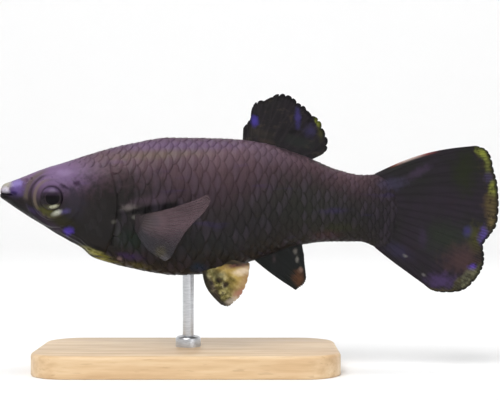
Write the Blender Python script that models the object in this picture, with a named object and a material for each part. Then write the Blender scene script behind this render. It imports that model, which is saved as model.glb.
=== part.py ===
"""Female black molly, life size, swimming level on a plain display stand.

Units are metres with +Z up. The fish faces -X and shows its left flank to -Y. The origin is on the
floor, below the middle of the fish. Shapes are described in millimetres as (s, z): s runs back from
the tip of the lower jaw, and z is the height above the fish's own axis.
"""

import math

import bmesh
import bpy
from mathutils import Matrix, Vector

MM = 0.001
GAP = 0.3
TOTAL_LENGTH = 80.0
AXIS_HEIGHT = 27.0
SHARP_EDGE = math.radians(40)

# The body's lengthwise profiles, each (s, value).
BACK = (
    (0.0, 1.3), (0.5, 2.1), (1.4, 2.85), (3.0, 3.5), (11.0, 6.45), (20.6, 9.1), (27.0, 10.1),
    (36.0, 9.95), (42.0, 9.3), (48.0, 7.45), (54.4, 4.8), (58.0, 4.1), (62.0, 4.5),
)
BELLY = (
    (0.0, 0.5), (0.5, 0.0), (1.4, -0.65), (3.0, -1.75), (11.0, -6.6), (13.0, -7.7), (14.6, -9.1),
    (16.5, -9.95), (20.0, -10.9), (28.7, -12.15), (34.0, -11.8), (41.0, -9.6), (48.0, -7.3),
    (53.0, -6.75), (57.5, -6.75), (60.0, -7.65), (62.0, -9.2),
)
HALF_WIDTH = (
    (0.0, 0.9), (0.5, 1.45), (1.4, 1.9), (3.0, 2.55), (6.2, 3.65), (9.0, 4.35), (14.0, 5.2),
    (20.0, 5.75), (26.0, 5.95), (32.0, 5.7), (38.0, 5.0), (44.0, 4.1), (50.0, 3.2), (56.0, 2.35),
    (62.0, 1.5),
)
WIDEST = (
    (0.0, 1.1), (3.0, 1.2), (8.0, 0.6), (15.0, -0.6), (26.0, -1.6), (36.0, -0.9), (46.0, -0.2),
    (62.0, -1.3),
)
TOP_SQUARENESS = ((0.0, 2.4), (3.0, 2.9), (9.0, 2.8), (16.0, 2.3), (28.0, 2.0), (62.0, 2.0))
BOTTOM_SQUARENESS = ((0.0, 2.2), (6.0, 2.0), (14.0, 1.9), (28.0, 2.15), (40.0, 1.9), (62.0, 2.0))
BODY_END = 62.0
SNOUT_END = 3.0
SNOUT_RINGS = 7
BODY_RINGS = 38
RING_SIDES = 32

# Where the body is parted.
GILL_OPENING = {"centre": (5.0, -0.8), "radius": 14.2}
CHEEK_EDGE = {"centre": (19.8, -1.4), "radius": 7.2}
GILL_COVER_THICKNESS = 1.0
GILL_COVER_RISE = 0.25
CORE_START = 8.0
TAIL_STEM_START = 50.0
TAIL_STEM_END = 60.5

# The head's features.
MOUTH = {"depth": 2.1, "z": 1.05, "slope_deg": 5.0, "width": 0.28}
UPPER_LIP = {"front": 0.72, "z": 1.62, "half_width": 1.75, "length": 1.9, "drop": 0.45, "radius": 0.46}
LOWER_LIP = {"front": 0.42, "z": 0.45, "half_width": 1.7, "length": 1.9, "drop": 0.3, "radius": 0.44}
EYE_CENTRE = (8.85, 0.3)
EYE_RADIUS = 2.15
EYE_HALF_DEPTH = 1.75
EYE_SINK = 1.05
EYE_FORWARD_DEG = 13.0
EYELID_RADIUS = 2.9
EYELID_HALF_DEPTH = 1.8
NOSTRIL = {"s": 4.5, "z": 3.0, "radius": 0.34}

# Fins. Rays run from a root line to (s, z) tips, first ray to last. The first and the last ray bow
# sideways by bow, flesh is the thickness at the root, and wave is how far the fin swings left and right.
DORSAL = {
    "root": (38.7, 49.6), "sink": 1.0, "rays": 10, "rows": 7, "bow": (0.0, -0.5), "flesh": 1.3, "wave": 0.45,
    "tips": (
        (39.3, 12.3), (40.8, 15.8), (42.7, 16.5), (44.9, 17.0), (46.8, 16.5), (48.4, 15.3), (50.0, 13.7),
        (51.4, 12.6), (52.3, 10.4), (52.0, 8.2),
    ),
}
ANAL = {
    "root": (40.9, 48.1), "sink": 1.0, "rays": 8, "rows": 6, "bow": (-0.55, 0.0), "flesh": 1.2, "wave": 0.15,
    "tips": (
        (47.1, -14.3), (47.9, -14.3), (48.5, -13.6), (48.9, -12.6), (49.0, -11.4), (48.9, -10.3),
        (48.7, -9.1),
    ),
}
CAUDAL = {
    "rays": 16, "rows": 11, "bow": (1.3, -0.2), "wave": 0.8,
    "tips": (
        (76.8, 8.6), (78.2, 7.6), (79.0, 6.0), (79.5, 4.0), (79.9, 2.1), (80.0, 0.2), (80.0, -1.8),
        (79.6, -3.7), (78.8, -5.5), (77.7, -7.2), (77.5, -9.0), (77.1, -11.0), (76.1, -12.7), (74.4, -14.4),
        (72.0, -14.9), (69.1, -14.0),
    ),
}
PELVIC = {
    "root": ((32.6, -10.3), (34.5, -9.5)), "rays": 6, "rows": 6, "bow": (-0.6, 0.0), "flesh": 1.0,
    "from_middle": 1.5, "spread": 1.9,
    "tips": ((35.4, -16.6), (36.4, -16.9), (37.2, -16.4), (38.3, -15.2), (39.4, -13.1), (39.9, -10.9)),
}
PECTORAL = {
    "root": ((22.1, -2.2), (21.7, -4.9)), "rays": 10, "rows": 8, "bow": (0.2, -0.6), "flesh": 0.8,
    "from_middle": 4.7, "spread": 5.6, "last_spread": 3.6,
    "tips": (
        (33.4, 0.8), (33.8, -0.2), (33.1, -1.5), (32.2, -2.7), (31.1, -4.0), (30.2, -5.3), (29.2, -6.5),
        (28.4, -7.7), (27.8, -8.8), (26.9, -9.4),
    ),
}
MEMBRANE = 0.5
MARGIN = 0.38
FLESH_FADE = 3.5
RAY_RISE = 0.17
RAY_FOOT = 0.24
RAY_START = 0.2
SCALLOP = 0.3

# The stand.
STAND_CENTRE_S = 30.0
BASE_SIZE = (48.0, 25.0, 3.5)
BASE_CORNER = 6.0
BASE_CHAMFER = 0.6
ROD_RADIUS = 0.9
ROD_INTO_BODY = 4.0
COLLAR = {"radius": 2.0, "height": 1.4}

SKIN = {"colour": (0.045, 0.036, 0.042, 1.0), "roughness": 0.42, "metallic": 0.0}
FIN_BLACK = {"colour": (0.03, 0.027, 0.034, 1.0), "roughness": 0.5, "metallic": 0.0}
FIN_SMOKE = {"colour": (0.1, 0.08, 0.095, 1.0), "roughness": 0.5, "metallic": 0.0}
FIN_GOLD = {"colour": (0.42, 0.33, 0.17, 1.0), "roughness": 0.5, "metallic": 0.0}
EYE_DARK = {"colour": (0.012, 0.011, 0.014, 1.0), "roughness": 0.08, "metallic": 0.0}
MAPLE = {"colour": (0.62, 0.47, 0.31, 1.0), "roughness": 0.45, "metallic": 0.0}
STEEL = {"colour": (0.6, 0.6, 0.6, 1.0), "roughness": 0.3, "metallic": 1.0}


def smooth(points, x):
    """The value at x of a smooth curve through the points that makes no bumps between them."""
    if x <= points[0][0]:
        return points[0][1]
    if x >= points[-1][0]:
        return points[-1][1]
    steps = [(b[1] - a[1]) / (b[0] - a[0]) for a, b in zip(points, points[1:])]
    at = max(i for i in range(len(steps)) if points[i][0] <= x)

    def slope(i):
        if i == 0 or i == len(steps):
            return steps[min(i, len(steps) - 1)]
        before, after = steps[i - 1], steps[i]
        return 0.0 if before * after <= 0 else 2 * before * after / (before + after)

    width = points[at + 1][0] - points[at][0]
    t = (x - points[at][0]) / width
    start, end = points[at][1], points[at + 1][1]
    return (
        start * (1 + 2 * t) * (1 - t) ** 2
        + end * t * t * (3 - 2 * t)
        + slope(at) * width * t * (1 - t) ** 2
        - slope(at + 1) * width * t * t * (1 - t)
    )


def along(points, t):
    """The point at t, from 0 to 1, of a rounded line through the points."""
    last = len(points) - 1
    spot = min(max(t, 0.0), 1.0) * last
    i = min(int(spot), last - 1)
    f = spot - i
    p0, p1, p2, p3 = (Vector(points[min(max(i + k, 0), last)]) for k in (-1, 0, 1, 2))
    bend = 2 * p0 - 5 * p1 + 4 * p2 - p3
    twist = 3 * p1 - p0 - 3 * p2 + p3
    return 0.5 * (2 * p1 + (p2 - p0) * f + bend * f * f + twist * f ** 3)


def place(s, y, z):
    """The world position of a point of the fish, in metres."""
    return Vector((s - TOTAL_LENGTH / 2, y, z + AXIS_HEIGHT)) * MM


def half_width(s, z):
    """How far the body reaches sideways at a height."""
    middle = smooth(WIDEST, s)
    if z > middle:
        reach, power = smooth(BACK, s) - middle, smooth(TOP_SQUARENESS, s)
    else:
        reach, power = middle - smooth(BELLY, s), smooth(BOTTOM_SQUARENESS, s)
    share = min(abs(z - middle) / reach, 1.0)
    return smooth(HALF_WIDTH, s) * (1 - share ** power) ** (1 / power)


def material(name, look):
    made = bpy.data.materials.new(name)
    made.use_nodes = True
    shader = made.node_tree.nodes["Principled BSDF"]
    shader.inputs["Base Color"].default_value = look["colour"]
    shader.inputs["Roughness"].default_value = look["roughness"]
    shader.inputs["Metallic"].default_value = look["metallic"]
    made.diffuse_color = look["colour"]
    return made


def new_object(name, bm, look=None):
    mesh = bpy.data.meshes.new(name)
    bmesh.ops.recalc_face_normals(bm, faces=bm.faces)
    bm.to_mesh(mesh)
    bm.free()
    made = bpy.data.objects.new(name, mesh)
    bpy.context.scene.collection.objects.link(made)
    if look:
        made.data.materials.append(look)
    return made


def copy_of(source, name):
    made = source.copy()
    made.data = source.data.copy()
    made.name = name
    bpy.context.scene.collection.objects.link(made)
    return made


def remove(*objects):
    for unwanted in objects:
        bpy.data.objects.remove(unwanted)


def apply_modifiers(target):
    """Bakes the modifiers into the mesh, all in triangles."""
    bpy.context.view_layer.update()
    graph = bpy.context.evaluated_depsgraph_get()
    mesh = bpy.data.meshes.new_from_object(target.evaluated_get(graph))
    target.modifiers.clear()
    target.data = mesh
    triangulate(target)


def triangulate(target):
    bm = bmesh.new()
    bm.from_mesh(target.data)
    bmesh.ops.triangulate(bm, faces=bm.faces)
    bm.to_mesh(target.data)
    bm.free()


def boolean(target, others, operation):
    """Joins target with, cuts it by or keeps its shared part with each of the others in turn."""
    for other in others:
        modifier = target.modifiers.new(operation.title(), "BOOLEAN")
        modifier.operation = operation
        modifier.solver = "EXACT"
        modifier.object = other
        apply_modifiers(target)
    return target


def keep_largest(target):
    """Drops all but the largest closed surface."""
    bm = bmesh.new()
    bm.from_mesh(target.data)
    unseen, islands = set(bm.verts), []
    while unseen:
        island, front = set(), {unseen.pop()}
        while front:
            island |= front
            front = {e.other_vert(v) for v in front for e in v.link_edges} - island
        unseen -= island
        islands.append(island)
    kept = max(islands, key=len)
    bmesh.ops.delete(bm, geom=[v for v in bm.verts if v not in kept], context="VERTS")
    bm.to_mesh(target.data)
    bm.free()


def settle(target, look):
    """Keeps one closed body and shades it smooth with its material."""
    keep_largest(target)
    target.data.shade_smooth()
    target.data.set_sharp_from_angle(angle=SHARP_EDGE)
    target.data.materials.clear()
    target.data.materials.append(look)
    return target


def body_stations():
    """Lengths along the body, close together at the snout."""
    snout = [SNOUT_END * (i / SNOUT_RINGS) ** 2 for i in range(SNOUT_RINGS)]
    return snout + [SNOUT_END + (BODY_END - SNOUT_END) * i / BODY_RINGS for i in range(BODY_RINGS + 1)]


def body_ring(s, grow):
    """The points round the body at s, from the back down the left side, grown outwards all round."""
    top, bottom = smooth(BACK, s) + grow, smooth(BELLY, s) - grow
    middle, wide = smooth(WIDEST, s), smooth(HALF_WIDTH, s) + grow
    points = []
    for i in range(RING_SIDES):
        turn = 2 * math.pi * i / RING_SIDES
        up, side = math.cos(turn), math.sin(turn)
        power = smooth(TOP_SQUARENESS if up >= 0 else BOTTOM_SQUARENESS, s)
        y = -math.copysign(abs(side) ** (2 / power), side) * wide
        z = middle + abs(up) ** (2 / power) * (top - middle if up >= 0 else bottom - middle)
        points.append((y, z))
    return points


def make_body(name, grow=0.0, start=0.0):
    """The whole body from snout to tail root as one closed loft."""
    bm = bmesh.new()
    rings = []
    for s in body_stations():
        if s < start:
            continue
        front = s - max(grow, 0.0) if s == 0 else s
        rings.append([bm.verts.new(place(front, y, z)) for y, z in body_ring(s, grow)])
    for ring, following in zip(rings, rings[1:]):
        for i in range(RING_SIDES):
            j = (i + 1) % RING_SIDES
            bm.faces.new((ring[i], ring[j], following[j], following[i]))
    for end in (rings[0], rings[-1]):
        bm.faces.new(end)
    bmesh.ops.triangulate(bm, faces=bm.faces)
    return new_object(name, bm)


def make_disc(name, circle, grow=0.0, sides=64):
    """A cylinder lying across the whole fish on a circle of the side view."""
    bm = bmesh.new()
    radius = (circle["radius"] + grow) * MM
    at = Matrix.Translation(place(circle["centre"][0], 0, circle["centre"][1]))
    bmesh.ops.create_cone(bm, cap_ends=True, segments=sides, radius1=radius, radius2=radius,
                          depth=TOTAL_LENGTH / 2 * MM, matrix=at @ Matrix.Rotation(math.pi / 2, 4, "X"))
    return new_object(name, bm)


def make_block(name, low, high):
    """A box from one (s, y, z) corner to the other."""
    bm = bmesh.new()
    a, b = place(*low), place(*high)
    bmesh.ops.create_cube(bm, size=1.0, matrix=Matrix.LocRotScale((a + b) / 2, None, b - a))
    return new_object(name, bm)


def make_tube(name, points, radii, sides=8):
    """A closed tube along world points, one radius each."""
    bm = bmesh.new()
    rings = []
    for i, (point, radius) in enumerate(zip(points, radii)):
        ahead = (points[min(i + 1, len(points) - 1)] - points[max(i - 1, 0)]).normalized()
        up = (Vector((0, 0, 1)) - ahead * ahead.z).normalized() * radius
        across = ahead.cross(up)
        turns = [2 * math.pi * k / sides for k in range(sides)]
        rings.append([bm.verts.new(point + up * math.cos(a) + across * math.sin(a)) for a in turns])
    for ring, following in zip(rings, rings[1:]):
        for k in range(sides):
            bm.faces.new((ring[k], ring[(k + 1) % sides], following[(k + 1) % sides], following[k]))
    bm.faces.new(rings[0])
    bm.faces.new(rings[-1])
    return new_object(name, bm)


def make_lip(name, lip, count=11):
    """A lip that curves round the snout from one corner of the mouth to the other."""
    points, radii = [], []
    for i in range(count):
        turn = math.pi * (i / (count - 1) - 0.5)
        back = 1 - math.cos(turn)
        s = lip["front"] + lip["length"] * back
        points.append(place(s, lip["half_width"] * math.sin(turn), lip["z"] - lip["drop"] * back))
        radii.append(lip["radius"] * (0.55 + 0.45 * math.cos(turn)) * MM)
    return make_tube(name, points, radii)


def eye_frame(side):
    """Where an eye sits and which way it looks: its own Y points along the line of sight."""
    s, z = EYE_CENTRE
    at = place(s, side * (half_width(s, z) - EYE_SINK), z)
    return Matrix.Translation(at) @ Matrix.Rotation(math.radians(side * EYE_FORWARD_DEG), 4, "Z")


def make_ellipsoid(name, side, radius, half_depth, rings, look=None):
    """A ball about an eye's centre, flattened along the line of sight."""
    bm = bmesh.new()
    size = Vector((radius, half_depth, radius)) * MM
    pole = Matrix.Rotation(math.pi / 2, 4, "X")
    bmesh.ops.create_uvsphere(bm, u_segments=2 * rings, v_segments=rings, radius=1.0,
                              matrix=eye_frame(side) @ Matrix.Diagonal(size).to_4x4() @ pole)
    made = new_object(name, bm, look)
    made.data.shade_smooth()
    return made


def make_eyelid(side):
    return make_ellipsoid("eyelid", side, EYELID_RADIUS, EYELID_HALF_DEPTH, 14)


def make_socket(side):
    return make_ellipsoid("socket", side, EYE_RADIUS + GAP, EYE_HALF_DEPTH + GAP, 12)


def make_nostril(side):
    bm = bmesh.new()
    s, z = NOSTRIL["s"], NOSTRIL["z"]
    at = Matrix.Translation(place(s, side * half_width(s, z), z))
    bmesh.ops.create_icosphere(bm, subdivisions=2, radius=NOSTRIL["radius"] * MM, matrix=at)
    return new_object("nostril", bm)


def make_mouth_slot():
    """The slot between the closed lips, falling slightly towards its corners."""
    bm = bmesh.new()
    size = Vector((2 * MOUTH["depth"], 12, MOUTH["width"])) * MM
    tilt = Matrix.Rotation(math.radians(MOUTH["slope_deg"]), 4, "Y")
    at = Matrix.Translation(place(0, 0, MOUTH["z"]))
    bmesh.ops.create_cube(bm, size=1.0, matrix=at @ tilt @ Matrix.Diagonal(size).to_4x4())
    return new_object("mouth_slot", bm)


def make_gill_pocket(side):
    """The shallow seat in the side of the head that a gill cover lies in."""
    pocket = make_disc("pocket", CHEEK_EDGE, GAP)
    core = make_body("core", -GILL_COVER_THICKNESS - GAP, CORE_START)
    far_side = make_block("far_side", (-5, -side * 25, -25), (90, 0, 25))
    boolean(pocket, [core, far_side], "DIFFERENCE")
    keep_largest(pocket)
    remove(core, far_side)
    return pocket


def make_head(body, look):
    """Everything in front of the gill openings, with mouth, nostrils and eye sockets."""
    head = copy_of(body, "head")
    added = [make_lip("upper_lip", UPPER_LIP), make_lip("lower_lip", LOWER_LIP)]
    added += [make_eyelid(side) for side in (-1, 1)]
    boolean(head, added, "UNION")
    front = make_disc("front", GILL_OPENING)
    boolean(head, [front], "INTERSECT")
    cutters = [make_gill_pocket(side) for side in (-1, 1)]
    cutters += [make_nostril(side) for side in (-1, 1)]
    cutters.append(make_mouth_slot())
    cutters += [make_socket(side) for side in (-1, 1)]
    boolean(head, cutters, "DIFFERENCE")
    settle(head, look)
    remove(front, *added, *cutters)


def make_gill_covers(look):
    """The bony plates between cheek and gill opening, each lying in its seat and a little proud."""
    cover = make_body("gill_cover_left", GILL_COVER_RISE)
    core = make_body("core", -GILL_COVER_THICKNESS, CORE_START)
    far_side = make_block("far_side", (-5, 0, -25), (90, 25, 25))
    discs = [make_disc("front", GILL_OPENING), make_disc("cheek", CHEEK_EDGE)]
    boolean(cover, discs, "INTERSECT")
    boolean(cover, [core, far_side], "DIFFERENCE")
    settle(cover, look)
    remove(core, far_side, *discs)
    mirrored(cover, "gill_cover_right")


def make_trunk(body, look):
    trunk = copy_of(body, "trunk")
    front = make_disc("front", GILL_OPENING, GAP)
    back = make_block("back", (TAIL_STEM_START - GAP / 2, -20, -20), (90, 20, 20))
    boolean(trunk, [front, back], "DIFFERENCE")
    settle(trunk, look)
    remove(front, back)


def make_tail_stem(body, look):
    stem = copy_of(body, "tail_stem")
    middle = make_block("middle", (TAIL_STEM_START + GAP / 2, -20, -20), (TAIL_STEM_END, 20, 20))
    boolean(stem, [middle], "INTERSECT")
    settle(stem, look)
    remove(middle)


def ray_columns(rays):
    """Places across a fin, each with 1 on the crest of a ray and 0 at its feet."""
    columns = []
    for i in range(rays - 1):
        columns += [(i, 1.0), (i + RAY_FOOT, 0.0), (i + 1 - RAY_FOOT, 0.0)]
    columns.append((rays - 1, 1.0))
    return [(spot / (rays - 1), crest) for spot, crest in columns]


def fin_thickness(flesh, crest, r):
    """The full thickness on or between rays at r."""
    membrane = MEMBRANE + (MARGIN - MEMBRANE) * r ** 4
    rise = RAY_RISE * crest * (1 - 0.7 * r) * min(1.0, r / RAY_START)
    return membrane + max(0.0, flesh - membrane) * (1 - r) ** FLESH_FADE + 2 * rise


def make_fin(name, fin, root, out, look, flesh=None):
    """A fin with raised rays, as one closed body.

    root gives (s, z) at t, out the sideways place at (t, r) and flesh the root's thickness at t, where
    t runs from the first ray to the last and r from root to tip.
    """
    columns = ray_columns(fin["rays"])
    bm = bmesh.new()
    bmesh.ops.create_grid(bm, x_segments=len(columns) - 1, y_segments=fin["rows"], size=0.5)
    thickness = []
    for vert in bm.verts:
        t, crest = columns[round((vert.co.x + 0.5) * (len(columns) - 1))]
        r = vert.co.y + 0.5
        start, tip = Vector(root(t)), along(fin["tips"], t)
        ray = tip - start
        reach = r * (1 - (1 - crest) * SCALLOP / ray.length)
        first, last = fin["bow"]
        bow = (first + (last - first) * t) * math.sin(math.pi * r)
        sideways = Vector((-ray.y, ray.x)).normalized() * bow
        spot = start + ray * reach + sideways
        vert.co = place(spot.x, out(t, r), spot.y)
        thickness.append(fin_thickness(flesh(t) if flesh else fin["flesh"], crest, r))
    bmesh.ops.triangulate(bm, faces=bm.faces)
    made = new_object(name, bm)
    group = made.vertex_groups.new(name="thickness")
    most = max(thickness)
    for i, value in enumerate(thickness):
        group.add([i], value / most, "REPLACE")
    solid = made.modifiers.new("Solidify", "SOLIDIFY")
    solid.thickness = most * MM
    solid.offset = 0.0
    solid.vertex_group = "thickness"
    apply_modifiers(made)
    return settle(made, look)


def clear_of_body(fin, clearance):
    """Trims a fin's root so that it ends a gap away from the body."""
    boolean(fin, [clearance], "DIFFERENCE")
    keep_largest(fin)
    return fin


def mirrored(source, name):
    """A copy of a left piece for the right side."""
    made = copy_of(source, name)
    bm = bmesh.new()
    bm.from_mesh(made.data)
    bmesh.ops.scale(bm, vec=(1, -1, 1), verts=bm.verts)
    bmesh.ops.reverse_faces(bm, faces=bm.faces)
    bm.to_mesh(made.data)
    bm.free()


def on_profile(profile, span, sink):
    """A fin's root line on the back or the belly, sunk a little into the body."""
    def root(t):
        s = span[0] + (span[1] - span[0]) * t
        return (s, smooth(profile, s) + sink)
    return root


def between(ends):
    """A straight root line between two points."""
    return lambda t: Vector(ends[0]).lerp(Vector(ends[1]), t)


def make_dorsal_fin(clearance, look):
    def out(t, r):
        return DORSAL["wave"] * math.sin(2 * math.pi * t) * r ** 2

    root = on_profile(BACK, DORSAL["root"], -DORSAL["sink"])
    clear_of_body(make_fin("dorsal_fin", DORSAL, root, out, look), clearance)


def make_anal_fin(clearance, look):
    def out(t, r):
        return ANAL["wave"] * math.cos(math.pi * t) * r

    root = on_profile(BELLY, ANAL["root"], ANAL["sink"])
    clear_of_body(make_fin("anal_fin", ANAL, root, out, look), clearance)


def make_caudal_fin(look):
    """The tail fin, whose root matches the flat end of the tail stem."""
    root_s = TAIL_STEM_END + GAP
    top, bottom = smooth(BACK, root_s), smooth(BELLY, root_s)
    stem_width = 2 * smooth(HALF_WIDTH, root_s)

    def root(t):
        return (root_s, top + (bottom - top) * t)

    def out(t, r):
        return CAUDAL["wave"] * math.cos(1.75 * math.pi * t - 1.0) * r ** 1.6

    def flesh(t):
        return stem_width * math.sqrt(max(0.0, 1 - (2 * t - 1) ** 2))

    make_fin("caudal_fin", CAUDAL, root, out, look, flesh)


def make_pelvic_fins(clearance, look):
    def out(t, r):
        return -PELVIC["from_middle"] - PELVIC["spread"] * r

    left = make_fin("pelvic_fin_left", PELVIC, between(PELVIC["root"]), out, look)
    mirrored(clear_of_body(left, clearance), "pelvic_fin_right")


def make_pectoral_fins(clearance, look):
    def out(t, r):
        return -PECTORAL["from_middle"] - (PECTORAL["spread"] * (1 - t) + PECTORAL["last_spread"] * t) * r

    left = make_fin("pectoral_fin_left", PECTORAL, between(PECTORAL["root"]), out, look)
    mirrored(clear_of_body(left, clearance), "pectoral_fin_right")


def make_pillar(name, radius, low, high, look, sides=24):
    """An upright round piece of the stand."""
    bm = bmesh.new()
    at = Vector((STAND_CENTRE_S - TOTAL_LENGTH / 2, 0, (low + high) / 2)) * MM
    bmesh.ops.create_cone(bm, cap_ends=True, segments=sides, radius1=radius * MM, radius2=radius * MM,
                          depth=(high - low) * MM, matrix=Matrix.Translation(at))
    return new_object(name, bm, look)


def make_stand(clearance, wood, steel):
    """A flat base, a collar and one rod that ends just under the belly."""
    length, width, height = BASE_SIZE
    at = Vector((STAND_CENTRE_S - TOTAL_LENGTH / 2, 0, height / 2)) * MM
    bm = bmesh.new()
    bmesh.ops.create_cube(bm, size=1.0, matrix=Matrix.LocRotScale(at, None, Vector(BASE_SIZE) * MM))
    upright = [e for e in bm.edges if abs(e.verts[0].co.z - e.verts[1].co.z) > height / 2 * MM]
    bmesh.ops.bevel(bm, geom=upright, offset=BASE_CORNER * MM, segments=8, profile=0.5, affect="EDGES")
    rim = [e for e in bm.edges if min(v.co.z for v in e.verts) > 0.99 * height * MM]
    bmesh.ops.bevel(bm, geom=rim, offset=BASE_CHAMFER * MM, segments=2, profile=0.5, affect="EDGES")
    base = new_object("stand_base", bm, wood)
    base.data.set_sharp_from_angle(angle=SHARP_EDGE)

    collar_top = height + GAP + COLLAR["height"]
    make_pillar("stand_collar", COLLAR["radius"], height + GAP, collar_top, steel)
    belly = AXIS_HEIGHT + smooth(BELLY, STAND_CENTRE_S)
    rod = make_pillar("stand_rod", ROD_RADIUS, collar_top + GAP, belly + ROD_INTO_BODY, steel)
    boolean(rod, [clearance], "DIFFERENCE")
    settle(rod, steel)


def make_molly():
    remove(*bpy.data.objects)
    skin = material("molly_skin", SKIN)
    black = material("fin_black", FIN_BLACK)
    body = make_body("body")
    clearance = make_body("clearance", GAP)
    make_head(body, skin)
    make_gill_covers(skin)
    make_trunk(body, skin)
    make_tail_stem(body, skin)
    eye = material("eye_dark", EYE_DARK)
    for side, name in ((-1, "eye_left"), (1, "eye_right")):
        make_ellipsoid(name, side, EYE_RADIUS, EYE_HALF_DEPTH, 12, eye)
    make_dorsal_fin(clearance, black)
    make_anal_fin(clearance, black)
    make_caudal_fin(black)
    make_pelvic_fins(clearance, material("fin_gold", FIN_GOLD))
    make_pectoral_fins(clearance, material("fin_smoke", FIN_SMOKE))
    make_stand(clearance, material("stand_wood", MAPLE), material("stand_steel", STEEL))
    remove(body, clearance)


make_molly()
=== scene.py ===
"""The looks of the black molly and its stand.

The fish's shapes are given in millimetres as (s, y, z): s runs back from the tip of the lower jaw,
y is minus on its left flank and z is the height above its own axis.
"""

import math

import bmesh
import bpy
import numpy as np
from mathutils import Matrix, Vector, noise


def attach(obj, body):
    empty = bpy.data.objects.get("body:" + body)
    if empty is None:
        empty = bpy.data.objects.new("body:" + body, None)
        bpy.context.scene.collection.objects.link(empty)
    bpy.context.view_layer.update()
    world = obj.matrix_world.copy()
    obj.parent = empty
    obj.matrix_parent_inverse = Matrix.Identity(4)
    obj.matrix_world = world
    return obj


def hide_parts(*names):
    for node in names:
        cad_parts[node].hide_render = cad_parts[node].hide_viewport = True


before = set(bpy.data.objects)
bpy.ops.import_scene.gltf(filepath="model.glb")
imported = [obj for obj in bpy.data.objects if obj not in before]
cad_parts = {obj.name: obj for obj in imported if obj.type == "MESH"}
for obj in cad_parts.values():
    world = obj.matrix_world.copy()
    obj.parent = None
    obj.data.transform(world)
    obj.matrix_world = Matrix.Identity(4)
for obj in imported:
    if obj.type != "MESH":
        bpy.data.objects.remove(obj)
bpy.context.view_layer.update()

METRE = 1000.0
MM = 1 / METRE
DOUBLES = 1e-7  # vertices nearer than this, in metres, are merged
TOTAL_LENGTH = 80.0
AXIS_HEIGHT = 27.0
FISH_START = (-TOTAL_LENGTH / 2, 0, AXIS_HEIGHT)
TURN = 2 * math.pi

# The body's lengthwise profiles, each (s, value).
BACK = (
    (0.0, 1.3), (0.5, 2.1), (1.4, 2.85), (3.0, 3.5), (11.0, 6.45), (20.6, 9.1), (27.0, 10.1),
    (36.0, 9.95), (42.0, 9.3), (48.0, 7.45), (54.4, 4.8), (58.0, 4.1), (62.0, 4.5), (66.0, 5.2),
)
BELLY = (
    (0.0, 0.5), (0.5, 0.0), (1.4, -0.65), (3.0, -1.75), (11.0, -6.6), (13.0, -7.7), (14.6, -9.1),
    (16.5, -9.95), (20.0, -10.9), (28.7, -12.15), (34.0, -11.8), (41.0, -9.6), (48.0, -7.3),
    (53.0, -6.75), (57.5, -6.75), (60.0, -7.65), (62.0, -9.2), (66.0, -12.0),
)
HALF_WIDTH = (
    (0.0, 0.9), (0.5, 1.45), (1.4, 1.9), (3.0, 2.55), (6.2, 3.65), (9.0, 4.35), (14.0, 5.2),
    (20.0, 5.75), (26.0, 5.95), (32.0, 5.7), (38.0, 5.0), (44.0, 4.1), (50.0, 3.2), (56.0, 2.35),
    (62.0, 1.5), (66.0, 1.0),
)
WIDEST = (
    (0.0, 1.1), (3.0, 1.2), (8.0, 0.6), (15.0, -0.6), (26.0, -1.6), (36.0, -0.9), (46.0, -0.2),
    (62.0, -1.3), (66.0, -2.0),
)
TOP_SQUARENESS = ((0.0, 2.4), (3.0, 2.9), (9.0, 2.8), (16.0, 2.3), (28.0, 2.0), (66.0, 2.0))
BOTTOM_SQUARENESS = ((0.0, 2.2), (6.0, 2.0), (14.0, 1.9), (28.0, 2.15), (40.0, 1.9), (66.0, 2.0))
SNOUT_ROUNDING = 0.1
LOBE_START = 59.5
LOBE_END = 64.3

# The skin's rings: how far apart they lie, as (s, spacing).
RING_SPACING = (
    (-0.1, 0.03), (0.3, 0.07), (3.0, 0.1), (13.0, 0.12), (22.0, 0.16), (26.0, 0.42), (66.0, 0.42),
)
RING_SIDES = 240

# The head's features. A circle of the side view is (s, z, radius), as each nostril is.
MOUTH = {"z": 1.05, "slope": 0.087, "end": 2.1, "depth": 0.45, "width": 0.11}
UPPER_LIP = {"z": 1.62, "fall": 0.24, "rise": 0.2, "width": 0.34, "end": 2.3}
LOWER_LIP = {"z": 0.5, "fall": 0.16, "rise": 0.12, "width": 0.34, "end": 2.5}
LIP_FRONT = {"s": 0.6, "length": 0.6, "rise": 0.34}
EYE_S, EYE_Z = 8.85, 0.3
EYE_RADIUS = 2.15
EYE_HALF_DEPTH = 1.75
EYE_SINK = 1.05
EYE_FORWARD = math.radians(13)
PUPIL_BACK = 0.5
NOSTRILS = ((4.5, 3.0, 0.34), (5.35, 3.3, 0.24))
GILL_OPENING = (5.0, -0.8, 14.2)
PREOPERCLE = (9.0, 0.2, 4.7)
# Sense pores, each (bearing from the eye in degrees, distance from it).
PORES = (
    (40, 3.3), (66, 3.25), (92, 3.2), (118, 3.25), (150, 3.4), (196, 3.0), (224, 3.05), (252, 3.15),
    (318, 3.1),
)
PORE_RADIUS = 0.13

# The scales. SCALE_STEP gives how far apart a row's scales lie, as (least, share of a scale's half height),
# and PATCH is a scale's size on its UV map.
SCALE_ROWS = 36
SCALE_OVERLAP = 1.45
SCALE_STEP = (0.86, 0.685)
SCALE_START = 9.0
SCALE_END = LOBE_END - 1.7
SCALE_DEPTH = 0.16
SCALE_WIDTH = 1.14
SCALE_SIDES = (8, 3)
PATCH = 0.003

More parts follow.
